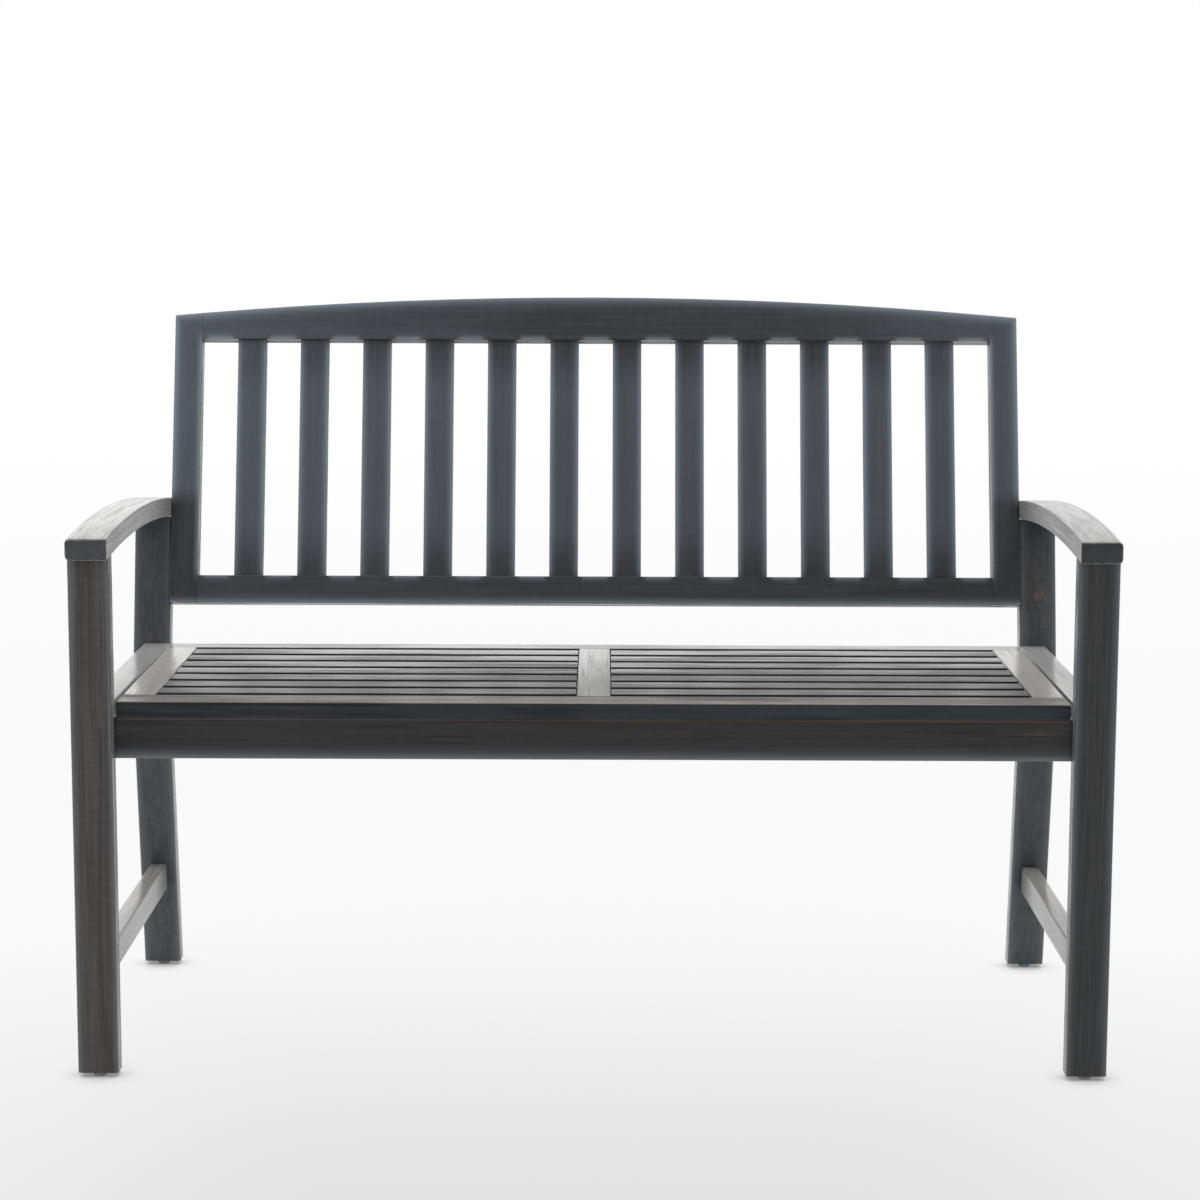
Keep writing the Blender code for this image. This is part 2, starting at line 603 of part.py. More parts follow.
def bolt(name, bench, sign, surface, y, z, tip, hosts, finish):
    """A socket-head bolt along X, sunk in an outer face at this distance from the middle, and its holes."""
    head_top = surface - BOLT_SINK
    head_under = head_top - BOLT_HEAD_HEIGHT
    rings = [
        (head_top - SOCKET_DEPTH, SOCKET_FLAT, True),
        (head_top, SOCKET_FLAT, True),
        (head_top, BOLT_HEAD_RADIUS - BOLT_CHAMFER, False),
        (head_top - BOLT_CHAMFER, BOLT_HEAD_RADIUS, False),
        (head_under, BOLT_HEAD_RADIUS, False),
        (head_under, BOLT_RADIUS, False),
        (tip + BOLT_CHAMFER, BOLT_RADIUS, False),
        (tip, BOLT_RADIUS - BOLT_CHAMFER, False),
    ]
    made = piece(name, turned(rings, BOLT_SIDES), bench, finish, (0, y, z))
    made.rotation_euler = (0, sign * math.pi / 2, 0)
    past_face = surface + BOLT_HEAD_HEIGHT
    hole = [
        (past_face, BOLT_HEAD_RADIUS + FIT, False),
        (head_under - FIT, BOLT_HEAD_RADIUS + FIT, False),
        (head_under - FIT, BOLT_RADIUS + FIT, False),
        (tip - FIT, BOLT_RADIUS + FIT, False),
    ]
    cutter = helper(f"{name}_hole", turned(hole, BOLT_SIDES), bench)
    cutter.location = made.location
    cutter.rotation_euler = made.rotation_euler
    for host in hosts:
        boolean(host, "DIFFERENCE", cutter)


def back_bolts(bench, side, sign, rear_leg, stile, finish):
    """Bolts through the rear leg into the stile, midway between the leg's front and the stile's rear face."""
    for place, up in BACK_BOLTS.items():
        stile_rear = back_point(up, BACK_THICK)
        z = back_point(up, BACK_THICK / 2).z
        rear_y = stile_rear.y + (z - stile_rear.z) * math.tan(RECLINE)
        y = (rear_leg_y(z) + rear_y) / 2
        name = f"back_bolt_{side}_{place}"
        bolt(name, bench, sign, LEG_OUTER, y, z, BACK_HALF - BOLT_BITE, (rear_leg, stile), finish)


def seat_bolts(bench, side, sign, side_rail, end_board, finish):
    """Bolts through the side rail into the seat's end board."""
    z = (SEAT_UNDER + SEAT_HEIGHT) / 2
    surface = LEG_INNER + SIDE_RAIL_WIDTH
    for place, y in (("front", SEAT_SETBACK + SEAT_BOLT_INSET), ("rear", SEAT_REAR - SEAT_BOLT_INSET)):
        name = f"seat_bolt_{side}_{place}"
        bolt(name, bench, sign, surface, y, z, SEAT_HALF - BOLT_BITE, (side_rail, end_board), finish)


def middle_y():
    """Middle of the bench from the armrest's nose to the rear of the back's rounded crown."""
    crown = back_point(BACK_CROWN, BACK_THICK)
    lost_to_round = BACK_ROUND * (math.cos(RECLINE) + math.sin(RECLINE) - 1)
    return (crown.y - lost_to_round - ARM_NOSE) / 2


def main():
    clear_scene()
    frame_wood = material("stained_wood_side_frames", (0.060, 0.052, 0.047), 0.55)
    seat_wood = material("stained_wood_seat", (0.068, 0.063, 0.060), 0.50)
    back_wood = material("stained_wood_back", (0.042, 0.046, 0.050), 0.55)
    plastic = material("pale_glide_plastic", (0.55, 0.52, 0.46), 0.45)
    steel = material("zinc_plated_bolt", (0.55, 0.55, 0.56), 0.35, 1.0)

    bench = empty("bench", (0, -middle_y(), 0))
    back = empty("back", BACK_FOOT, bench)
    back.rotation_euler = (-RECLINE, 0, 0)

    seat_rails, end_boards = seat_panel(bench, seat_wood)
    apron("front_apron", SEAT_SETBACK + APRON_SETBACK, seat_rails["seat_front_rail"], bench, seat_wood)
    rear_apron = SEAT_REAR - APRON_SETBACK - APRON_THICK
    apron("rear_apron", rear_apron, seat_rails["seat_rear_rail"], bench, seat_wood)
    stiles = back_panel(back, back_wood)
    sides = {side: side_frame(bench, side, sign, frame_wood, plastic) for side, sign in SIDES.items()}
    cut_joints()
    for side, sign in SIDES.items():
        rear_leg, side_rail = sides[side]
        back_bolts(bench, side, sign, rear_leg, stiles[side], steel)
        seat_bolts(bench, side, sign, side_rail, end_boards[side], steel)


main()
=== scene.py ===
"""The outdoor bench's looks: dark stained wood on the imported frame, in a plain white studio.

Metres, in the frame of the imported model: +X along the bench, +Y towards the back, +Z up, floor at z = 0.
"""

import json
import math
from collections import namedtuple

import bmesh
import bpy
from mathutils import Matrix, Vector

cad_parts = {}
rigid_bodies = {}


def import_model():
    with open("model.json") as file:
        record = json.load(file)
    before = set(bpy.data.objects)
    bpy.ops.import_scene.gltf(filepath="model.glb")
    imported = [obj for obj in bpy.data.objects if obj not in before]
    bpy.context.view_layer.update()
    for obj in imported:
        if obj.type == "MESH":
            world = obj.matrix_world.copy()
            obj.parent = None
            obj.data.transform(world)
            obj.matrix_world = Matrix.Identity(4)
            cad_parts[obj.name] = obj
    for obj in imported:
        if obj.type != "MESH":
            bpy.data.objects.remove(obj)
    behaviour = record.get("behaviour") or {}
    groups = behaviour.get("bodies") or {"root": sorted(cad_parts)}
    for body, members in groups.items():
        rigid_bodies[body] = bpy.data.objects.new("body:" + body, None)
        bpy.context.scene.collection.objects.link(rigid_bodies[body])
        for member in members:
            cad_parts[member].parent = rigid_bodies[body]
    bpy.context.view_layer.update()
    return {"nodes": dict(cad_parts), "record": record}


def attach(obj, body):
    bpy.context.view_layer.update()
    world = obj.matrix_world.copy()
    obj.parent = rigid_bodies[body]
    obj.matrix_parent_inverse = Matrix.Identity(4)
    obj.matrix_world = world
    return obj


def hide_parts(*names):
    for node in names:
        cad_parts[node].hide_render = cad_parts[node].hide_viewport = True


WHITE = (1, 1, 1, 1)

# The back panel leans by this much, so the grain of its pieces follows the slope
RECLINE = math.radians(15.05)

# Camera: the photograph's viewpoint
CAMERA_PLACE = Vector((0.012, -3.596, 1.044))
CAMERA_PITCH = math.radians(8.07)  # below the horizon
CAMERA_YAW = math.radians(0.08)
CAMERA_ROLL = math.radians(0.19)
CAMERA_LENS = 86.55  # millimetres, on the sensor below
CAMERA_SENSOR = 36.0

# Mesh clean-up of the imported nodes
WELD = 0.00001
SMOOTH_EDGE = math.radians(50)
FLAT_WEIGHT = 100  # of large faces over small ones in the smooth shading

# Finish of each piece by the start of its name: the stain, the way the grain runs, the stain's strength; the
# pieces on the right are set darker than their twins on the left, painted shade where the light is weaker
PIECES = {
    "front_leg_left": ("leg", "upright", 1.10),
    "front_leg_right": ("shaded_leg", "upright", 1.00),
    "rear_leg_left": ("frame", "upright", 1.48),
    "rear_leg_right": ("frame", "upright", 1.34),
    "armrest_left": ("frame", "depth", 1.18),
    "armrest_right": ("frame", "depth", 0.57),
    "side_rail": ("frame", "depth", 1.00),
    "side_stretcher": ("frame", "depth", 1.00),
    "seat_end_board": ("seat", "depth", 1.00),
    "seat_centre_board": ("seat", "depth", 1.00),
    "seat_front_rail": ("seat", "length", 1.00),
    "seat_rear_rail": ("seat", "length", 1.00),
    "seat_slat": ("seat", "length", 1.00),
    "front_apron": ("apron", "length", 1.00),
    "rear_apron": ("apron", "length", 1.00),
    "back_top_rail": ("back", "length", 1.22),
    "back_bottom_rail": ("back", "length", 1.15),
    "back_stile_left": ("back", "upright", 1.15),
    "back_stile_right": ("back", "upright", 1.05),
    "back_slat": ("back", "upright", 1.00),
}
NOT_WOOD = (None, None, 1.0)
GRAIN_AXIS = {"length": 0, "depth": 1, "upright": 2}

# Stains, linear colours: the dark and the light of the grain, and the paler edges, which are painted glare of
# the bright surround, except the seat's, which are bare wood rubbed through
STAINS = {
    "leg": ((0.038, 0.033, 0.031, 1), (0.074, 0.067, 0.064, 1), (0.180, 0.197, 0.218, 1)),
    # painted shade: the leg's stain, darker and bluer, for the right front leg
    "shaded_leg": ((0.021, 0.022, 0.023, 1), (0.038, 0.039, 0.042, 1), (0.150, 0.166, 0.186, 1)),
    "frame": ((0.034, 0.038, 0.043, 1), (0.062, 0.068, 0.076, 1), (0.190, 0.206, 0.226, 1)),
    "seat": ((0.009, 0.013, 0.017, 1), (0.017, 0.023, 0.030, 1), (0.110, 0.060, 0.034, 1)),
    "apron": ((0.011, 0.011, 0.013, 1), (0.024, 0.022, 0.024, 1), (0.190, 0.213, 0.242, 1)),
    "back": ((0.027, 0.031, 0.037, 1), (0.045, 0.051, 0.060, 1), (0.290, 0.340, 0.400, 1)),
}
BARE_WOOD = (0.230, 0.110, 0.045, 1)  # where the stain is rubbed through
FLECKS = {"leg": 0.3, "shaded_leg": 0.15, "frame": 0.2, "seat": 0.08, "apron": 0.10, "back": 0.1}

# Patterns of the wood: their cycles a metre, across and along the grain
FIBRE = (300, 6)
BANDS = (50, 1.6)
PORES = (1000, 60)
STREAK = (140, 11)
MOTTLE = (70, 16)
SCUFF = (420, 50)
BLOTCH = (9, 5)
RIPPLE = (45, 230)
WEAR = {"length": (30, 4), "depth": (160, 9), "upright": (70, 16)}
NOISE_MIDDLE = 0.5  # they vary about this value

# The range of each pattern over which it sets in, and what it does
FIBRE_SHARE = 0.75  # of the grain's figure; growth bands are the rest
FIGURE_RANGE = (0.36, 0.64)
END_TURN = (0.6, 0.9)  # how far a face turns along the grain to be an end
END_BLUR = 0.7  # the grain shows less on the ends of the pieces
PORE_RANGE = (0.60, 0.72)
PORE_DARK = 0.4
PORE_DEPTH = 0.6  # against the fibres' height
STREAK_RANGE = (0.60, 0.72)
MOTTLE_RANGE = (0.45, 0.62)
SCUFF_RANGE = (0.50, 0.68)
SCUFF_SHARE = 0.6
BLOTCH_RANGE = (0.25, 0.75)
BLOTCH_TONE = (0.88, 1.12)
RIPPLE_RANGE = (0.3, 0.7)
RIPPLE_TONE = (0.92, 1.08)
GRAIN_BUMP = (0.2, 0.0004)  # strength and depth
SEED_STEP = 0.618  # spreads the pieces' grain apart

# Upper faces, where the weather has taken the stain, made paler still as a painted reflection of the bright
# surround at a low angle, and paler on the left where the light is stronger: dark and light of the grain, and
# how pale each piece is
WORN_AND_REFLECTION_DARK = (0.030, 0.027, 0.024, 1)
WORN_AND_REFLECTION_LIGHT = (0.150, 0.140, 0.127, 1)
WORN_AND_REFLECTION_TINT = {
    "armrest_left": (1.50, 1.46, 1.40),
    "armrest_right": (1.20, 1.16, 1.10),
    "side_rail": (1.20, 1.18, 1.15),
    "side_stretcher": (1.50, 1.43, 1.28),
    "seat_end_board_left": (3.10, 3.06, 2.98),
    "seat_end_board_right": (2.60, 2.56, 2.48),
    "seat_centre_board": (0.90, 0.86, 0.74),
    "seat_rear_rail": (1.00, 1.00, 0.98),
    "front_leg": (0.60, 0.59, 0.56),
    "rear_leg": (1.10, 1.08, 1.04),
    "seat_front_rail": (0.60, 0.48, 0.30),
    "seat_slat": (0.60, 0.60, 0.60),
}
WORN_AND_REFLECTION_SHARE = 0.9  # of the worn colour, on faces that turn up
WORN_AND_REFLECTION_SIDES = {  # and of that, on faces that turn aside, where it is painted reflection of the bright surround
    "front_leg": 0.4,
    "rear_leg": 0.5,
    "armrest": 0.5,
    "side_stretcher": 0.5,
    "back": 0.4,
}
WORN_AND_REFLECTION_TURN = (0.5, 0.95)  # how far a face turns up or aside to take that colour
WORN_AND_REFLECTION_SPREAD = {"seat_slat": 0.6}  # of the paleness, from piece to piece
WEAR_SHARE = 0.75  # of patches in the wear; fibres are the rest
WEAR_EDGE = {"length": 0.12, "depth": 0.25, "upright": 0.15}  # how softly the patches end

# Satin finish: duller in the dark of the wear than in the light, and how dull each piece is
ROUGH_DULL = 0.44
ROUGH_RUBBED = 0.25
ROUGH_FIBRE = (1.25, 0.85)  # from fibre to fibre
FIBRE_RANGE = (0.35, 0.65)
ROUGHNESS = {
    "armrest": 0.72,
    "side_rail": 0.50,
    "side_stretcher": 0.50,
    "seat_end_board": 0.60,
    "seat_centre_board": 0.64,
    "seat_front_rail": 1.45,
    "seat_rear_rail": 0.74,
    "seat_slat": 0.97,
}
SPECULAR = 0.4
SHEEN = {"leg": 0.6, "shaded_leg": 0.6, "frame": 1.0, "seat": 0.5, "apron": 0.5, "back": 0.15}  # at a low angle
SHEEN_DEPTH = 1.0  # where the grain runs from front to back
SHEEN_ROUGHNESS = 0.3

# Paler edges on faces to the front, painted glare of the bright surround (on the seat's front rail, bare wood
# rubbed through): their reach from a piece's low and high side, across the grain
NO_REACH = 0.000001
PALE_REACH = {
    "front_leg_left": (0.022, 0.015),
    "front_leg_right": (0.016, 0.022),
    "rear_leg": (0.024, 0.024),
    "back_slat": (0.016, 0.016),
    "back_stile_left": (NO_REACH, 0.013),
    "back_stile_right": (0.012, NO_REACH),
    "back_top_rail": (0.014, NO_REACH),
    "back_bottom_rail": (NO_REACH, 0.015),
    "front_apron": (0.026, NO_REACH),
    "seat_front_rail": (0.005, NO_REACH),
}
PALE_AXIS = {"upright": 0, "length": 2}
PALE_FALL = 4  # how steeply they fall off
PALE_TURN = (0.2, 0.6)  # how far a face turns to the front to show them
PALE_LOW = (0.46, 0.26, 0.065)  # the rear legs have more painted glare below: where that starts and is full, and its share

# Paler edges of the back as a whole, painted glare of the bright surround
PALE_CROWN = 0.024  # their reach along its upper edge
PALE_FOOT = 0.018  # along its lower edge
PALE_SIDE = 0.022  # and along its outer sides
PALE_ARM = (0.28, 0.38)  # the stiles are dark beside the arms, up to these shares of the opening's height
PALE_SLAT = (0.24, 0.36)  # the rails' inner edges are dark as far from a slat's middle, as shares of a pitch
PALE_JOINT = 0.015  # the upright pieces' edges fade out over this length at the rails
PALE_MIDDLE = 0.20  # of the edges' paleness, along the middle of the upright pieces and at the upper corners
PALE_ENDS = 0.075  # which fades out over this length towards the rails
PALE_CORNER = (0.26, 0.62)  # but grows along the top rail between these distances from the middle
PALE_LEFT = 0.09  # and more of it towards the left end
PALE_LEFT_RANGE = (0.1, -0.55)  # between these places along the bench
ARCH_DROP = 0.0826  # of the arched upper edge, per squared metre from the middle
SLAT_PAIR = ("back_slat_01", "back_slat_02")

# A place where the stain is rubbed through, its half-sizes and how softly it ends
RUBBED_PIECE = "rear_leg_right"
RUBBED_PLACE = (0.588, 0.170, 0.520)
RUBBED_SIZE = (0.015, 0.060, 0.060)
RUBBED_EDGE = (1.1, 0.3)
NOWHERE = (0, 0, -10)

# Nylon of the glides
GLIDE_CLEAN = (0.42, 0.39, 0.33, 1)
GLIDE_DIRTY = (0.28, 0.26, 0.22, 1)
GLIDE_SCUFF = (400, 400, 900)  # cycles a metre
GLIDE_DIRT_RANGE = (0.4, 0.7)
GLIDE_ROUGH = (0.40, 0.60)
GLIDE_BUMP = (0.2, 0.0002)

# Zinc plating of the bolts
ZINC_DARK = (0.50, 0.50, 0.50, 1)
ZINC_LIGHT = (0.66, 0.66, 0.65, 1)
ZINC_MOTTLE = (700, 700, 700)
ZINC_RANGE = (0.35, 0.65)
ZINC_ROUGH = (0.28, 0.42)
ZINC_BUMP = (0.1, 0.0001)
ROUGH_RANGE = (0.3, 0.7)  # of these two patterns, over which the roughness changes

# Studio floor: what it shows by itself in front of the bench, under it, beside it and far off; it is dimmer
# in front of the bench's middle, a painted shadow
FLOOR_SIZE = 60.0
FLOOR_COLOUR = (0.80, 0.80, 0.80, 1)
FLOOR_SHADOW = (0.10, 0.10, 0.10, 1)  # the part of it that takes the bench's shadow in view
FLOOR_FRONT = 0.68
FLOOR_UNDER = 0.865
FLOOR_SIDES = 0.07
FLOOR_FAR = 0.91
FLOOR_DEPTHS = (-1.0, 0.45)  # from the front to under the bench
FLOOR_WIDTHS = (0.25, 0.75)
FLOOR_REACH = (1.5, 9.0)
CONTACT_REACH = 0.04  # of the painted contact shadow on the floor close to the feet
CONTACT_DARK = 0.25

# Studio light, by its direction
FRONT_LIGHT = 0.65
BACK_LIGHT = (1.78, 1.37)  # at the left and at the right
BACK_SPREAD = 0.2  # it changes between these sideways directions
BACK_RANGE = (0.0, 0.8)  # and sets in between these backward ones
BACKGROUND = 0.998

# The main places of the back in its own coordinates: the first four up its slope, the others along the bench
Outline = namedtuple("Outline", "foot low high crown inner outer pitch")


class Nodes:
    """Short calls to add shader nodes to one node tree."""

    def __init__(self, tree):
        self.tree = tree

    def add(self, kind, **settings):
        node = self.tree.nodes.new(kind)
        for name, value in settings.items():
            setattr(node, name, value)
        return node

    def feed(self, socket, value):
        """Sets a socket to a constant, or links an output to it."""
        if isinstance(value, bpy.types.NodeSocket):
            self.tree.links.new(value, socket)
        else:
            socket.default_value = value

    def math(self, operation, first, second=0.0):
        node = self.add("ShaderNodeMath", operation=operation)
        self.feed(node.inputs[0], first)
        self.feed(node.inputs[1], second)
        return node.outputs[0]

    def vector(self, operation, first, second):
        node = self.add("ShaderNodeVectorMath", operation=operation)
        self.feed(node.inputs[0], first)
        self.feed(node.inputs[1], second)
        return node.outputs[0]

    def length(self, vector):
        node = self.add("ShaderNodeVectorMath", operation="LENGTH")
        self.feed(node.inputs[0], vector)
        return node.outputs["Value"]

    def scaled(self, vector, factor):
        node = self.add("ShaderNodeVectorMath", operation="SCALE")
        self.feed(node.inputs[0], vector)
        self.feed(node.inputs["Scale"], factor)
        return node.outputs["Vector"]

    def parts(self, vector):
        node = self.add("ShaderNodeSeparateXYZ")
        self.feed(node.inputs[0], vector)
        return node.outputs

    def noise(self, vector, detail, roughness=0.5, distortion=0.0):
        node = self.add("ShaderNodeTexNoise")
        self.feed(node.inputs["Vector"], vector)
        node.inputs["Scale"].default_value = 1.0
        node.inputs["Detail"].default_value = detail
        node.inputs["Roughness"].default_value = roughness
        node.inputs["Distortion"].default_value = distortion
        return node.outputs["Fac"]

    def remap(self, value, low, high, to_low=0.0, to_high=1.0):
        """A smooth step of a value from one range to another."""
        node = self.add("ShaderNodeMapRange", interpolation_type="SMOOTHSTEP")
        for socket, setting in zip(node.inputs, (value, low, high, to_low, to_high)):
            self.feed(socket, setting)
        return node.outputs["Result"]

    def mix(self, factor, first, second):
        """A mix of two colours."""
        node = self.add("ShaderNodeMix", data_type="RGBA")
        self.feed(node.inputs["Factor"], factor)
        self.feed(node.inputs["A"], first)
        self.feed(node.inputs["B"], second)
        return node.outputs["Result"]

    def weighed(self, first, second, share):
        """A share of one value, and the rest of another."""
        return self.math("ADD", self.math("MULTIPLY", first, share), self.math("MULTIPLY", second, 1 - share))

    def bump(self, height, strength, depth):
        node = self.add("ShaderNodeBump")
        node.inputs["Strength"].default_value = strength
        node.inputs["Distance"].default_value = depth
        self.feed(node.inputs["Height"], height)
        return node.outputs["Normal"]

    def principled(self, output, colour, roughness, normal):
        node = self.add("ShaderNodeBsdfPrincipled")
        self.feed(node.inputs["Base Color"], colour)
        self.feed(node.inputs["Roughness"], roughness)
        self.feed(node.inputs["Normal"], normal)
        self.feed(output.inputs["Surface"], node.outputs["BSDF"])
        return node


def new_material(name):
    made = bpy.data.materials.new(name)
    made.use_nodes = True
    made.node_tree.nodes.clear()
    nodes = Nodes(made.node_tree)
    output = nodes.add("ShaderNodeOutputMaterial")
    return made, nodes, output


def property_of(nodes, name):
    return nodes.add("ShaderNodeAttribute", attribute_type="OBJECT", attribute_name=name).outputs["Vector"]


def piece_coordinates(nodes, stain):
    """The piece's own coordinates. The back's are turned upright by its recline."""
    place = nodes.add("ShaderNodeTexCoord").outputs["Object"]
    if stain != "back":
        return place
    turn = nodes.add("ShaderNodeVectorRotate", rotation_type="X_AXIS")
    nodes.feed(turn.inputs["Vector"], place)
    turn.inputs["Angle"].default_value = RECLINE
    return turn.outputs["Vector"]


def pattern(nodes, seeded, grain, cycles, detail, **settings):
    """Noise with so many cycles a metre across and along the grain."""
    across, along = cycles
    scale = [across, across, across]
    scale[GRAIN_AXIS[grain]] = along
    return nodes.noise(nodes.vector("MULTIPLY", seeded, tuple(scale)), detail, **settings)


def falling(nodes, distance):
    """One at an edge, falling steeply to nothing at a distance of one from it."""
    left = nodes.math("MAXIMUM", nodes.math("SUBTRACT", 1.0, distance), 0.0)
    return nodes.math("POWER", left, PALE_FALL)


def above_arms(nodes, up, outline):
    """One above the height at which the arms meet the back, and nothing below it."""
    height = outline.high - outline.low
    return nodes.remap(up, *(outline.low + share * height for share in PALE_ARM))


def back_haze(nodes, place, outline):
    """Painted glare of the back between its edges: in its opening, at its upper corners and towards the left.
    """
    along, _, up = nodes.parts(place)
    aside = nodes.math("ABSOLUTE", along)
    above_foot = nodes.remap(up, outline.low, outline.low + PALE_ENDS)
    below_head = nodes.remap(up, outline.high, outline.high - PALE_ENDS)
    corner = nodes.remap(aside, *PALE_CORNER)
    haze = nodes.math("MULTIPLY", above_foot, nodes.math("MAXIMUM", below_head, corner))
    haze = nodes.math("MULTIPLY", haze, PALE_MIDDLE)
    haze = nodes.math("ADD", haze, nodes.remap(along, *PALE_LEFT_RANGE, 0.0, PALE_LEFT))
    on_stile = nodes.remap(aside, outline.inner - WELD, outline.inner + WELD)
    below_arm = nodes.math("SUBTRACT", 1.0, above_arms(nodes, up, outline))
    by_arm = nodes.math("MULTIPLY", on_stile, below_arm)
    return nodes.math("MULTIPLY", haze, nodes.math("SUBTRACT", 1.0, by_arm))


def back_rim(nodes, place, outline):
    """Painted glare along the outer edges of the back: one at them, falling to nothing over their reach."""
    along, _, up = nodes.parts(place)
    arch = nodes.math("MULTIPLY", nodes.math("MULTIPLY", along, along), ARCH_DROP)
    from_crown = nodes.math("SUBTRACT", nodes.math("SUBTRACT", outline.crown, arch), up)
    from_foot = nodes.math("SUBTRACT", up, outline.foot)
    from_side = nodes.math("SUBTRACT", outline.outer, nodes.math("ABSOLUTE", along))
    by_crown = nodes.math("DIVIDE", from_crown, PALE_CROWN)
    by_foot = nodes.math("DIVIDE", from_foot, PALE_FOOT)
    by_side = nodes.math("DIVIDE", from_side, PALE_SIDE)
    at_ends = falling(nodes, nodes.math("MINIMUM", by_crown, by_foot))
    at_side = nodes.math("MULTIPLY", falling(nodes, by_side), above_arms(nodes, up, outline))
    return nodes.math("MAXIMUM", at_side, at_ends)


def between_slats(nodes, place, outline):
    """One in the openings of the back, and nothing where its slats stand."""
    along = nodes.parts(place)[0]
    share = nodes.math("FRACT", nodes.math("DIVIDE", along, outline.pitch))
    from_slat = nodes.math("ABSOLUTE", nodes.math("SUBTRACT", share, 0.5))
    return nodes.remap(from_slat, *PALE_SLAT)


def between_rails(nodes, place, outline):
    """One between the rails of the back, and nothing at them."""
    up = nodes.parts(place)[2]
    above = nodes.remap(up, outline.low - PALE_JOINT, outline.low + PALE_JOINT)
    below = nodes.remap(up, outline.high + PALE_JOINT, outline.high - PALE_JOINT)
    return nodes.math("MULTIPLY", above, below)


def pale_edges(nodes, place, normal, stain, grain, outline):
    """Painted glare along the long edges of a piece's front face: one at the edge, falling to nothing over
    their reach. On the seat's front rail it marks bare wood rubbed through.
    """
    axis = PALE_AXIS[grain]
    reach_low, reach_high, _ = nodes.parts(property_of(nodes, "pale_reach"))
    from_low = nodes.parts(nodes.vector("SUBTRACT", place, property_of(nodes, "box_low")))[axis]
    from_high = nodes.parts(nodes.vector("SUBTRACT", property_of(nodes, "box_high"), place))[axis]
    by_low = nodes.math("DIVIDE", from_low, reach_low)
    by_high = nodes.math("DIVIDE", from_high, reach_high)
    pale = falling(nodes, nodes.math("MINIMUM", by_low, by_high))
    if stain == "back":
        open_between = between_rails if grain == "upright" else between_slats
        pale = nodes.math("MULTIPLY", pale, open_between(nodes, place, outline))
        whole = nodes.math("ADD", back_haze(nodes, place, outline), back_rim(nodes, place, outline))
        pale = nodes.math("ADD", pale, whole)
    if stain == "frame":
        start, end, share = PALE_LOW
        pale = nodes.math("ADD", pale, nodes.remap(nodes.parts(place)[2], start, end, 0.0, share))
    facing = nodes.math("MULTIPLY", nodes.parts(normal)[1], -1.0)
    return nodes.math("MULTIPLY", pale, nodes.remap(facing, *PALE_TURN))


def stain_colour(nodes, seeded, normal, stain, grain, fibre, pores):
    """The stain: dark and light of the grain, which shows less on the ends of a piece, and dark pores."""
    dark, light, _ = STAINS[stain]
    bands = pattern(nodes, seeded, grain, BANDS, detail=3, distortion=0.6)
    figure = nodes.weighed(fibre, bands, FIBRE_SHARE)
    lengthwise = nodes.math("ABSOLUTE", nodes.parts(normal)[GRAIN_AXIS[grain]])
    end_grain = nodes.remap(lengthwise, *END_TURN, 0.0, END_BLUR)
    to_middle = nodes.math("SUBTRACT", NOISE_MIDDLE, figure)
    figure = nodes.math("ADD", figure, nodes.math("MULTIPLY", to_middle, end_grain))
    colour = nodes.mix(nodes.remap(figure, *FIGURE_RANGE), dark, light)
    return nodes.mix(nodes.math("MULTIPLY", pores, PORE_DARK), colour, dark)


def with_wear_and_reflection(nodes, colour, normal, faded, sides):
    """The colour, worn and paler with painted reflection on faces that turn up and, by its piece's share, on
    those that turn aside.
    """
    aside, _, upward = nodes.parts(normal)
    above = nodes.remap(upward, *WORN_AND_REFLECTION_TURN)
    beside = nodes.remap(nodes.math("ABSOLUTE", aside), *WORN_AND_REFLECTION_TURN, 0.0, sides)
    worn = nodes.mix(faded, WORN_AND_REFLECTION_DARK, WORN_AND_REFLECTION_LIGHT)
    worn = nodes.vector("MULTIPLY", worn, property_of(nodes, "worn_and_reflection_tint"))
    share = nodes.math("MULTIPLY", nodes.math("MAXIMUM", above, beside), WORN_AND_REFLECTION_SHARE)
    return nodes.mix(share, colour, worn)


def with_bare_wood(nodes, colour, place, seeded, stain, grain):
    """The colour with flecks of bare wood, and more of it in the place where the stain is rubbed through."""
    streak = pattern(nodes, seeded, grain, STREAK, detail=3)
    mottle = pattern(nodes, seeded, grain, MOTTLE, detail=4, roughness=0.6, distortion=0.8)
    flecks = nodes.math("MULTIPLY", nodes.remap(streak, *STREAK_RANGE), nodes.remap(mottle, *MOTTLE_RANGE))
    colour = nodes.mix(nodes.math("MULTIPLY", flecks, FLECKS[stain]), colour, BARE_WOOD)
    away = nodes.vector("SUBTRACT", place, property_of(nodes, "rubbed_place"))
    rubbed = nodes.remap(nodes.length(nodes.vector("DIVIDE", away, RUBBED_SIZE)), *RUBBED_EDGE)
    scuff = pattern(nodes, seeded, grain, SCUFF, detail=3, distortion=0.4)
    through = nodes.math("MULTIPLY", rubbed, nodes.remap(scuff, *SCUFF_RANGE))
    return nodes.mix(nodes.math("MULTIPLY", through, SCUFF_SHARE), colour, BARE_WOOD)


def with_tone(nodes, colour, seeded, grain, tone):
    """The colour at its piece's strength, which holds painted shade on the right-hand pieces, a little
    uneven.
    """
    blotch = pattern(nodes, seeded, grain, BLOTCH, detail=3)
    ripple = pattern(nodes, seeded, grain, RIPPLE, detail=3)
    strength = nodes.math("MULTIPLY", tone, nodes.remap(blotch, *BLOTCH_RANGE, *BLOTCH_TONE))
    strength = nodes.math("MULTIPLY", strength, nodes.remap(ripple, *RIPPLE_RANGE, *RIPPLE_TONE))
    return nodes.scaled(colour, strength)


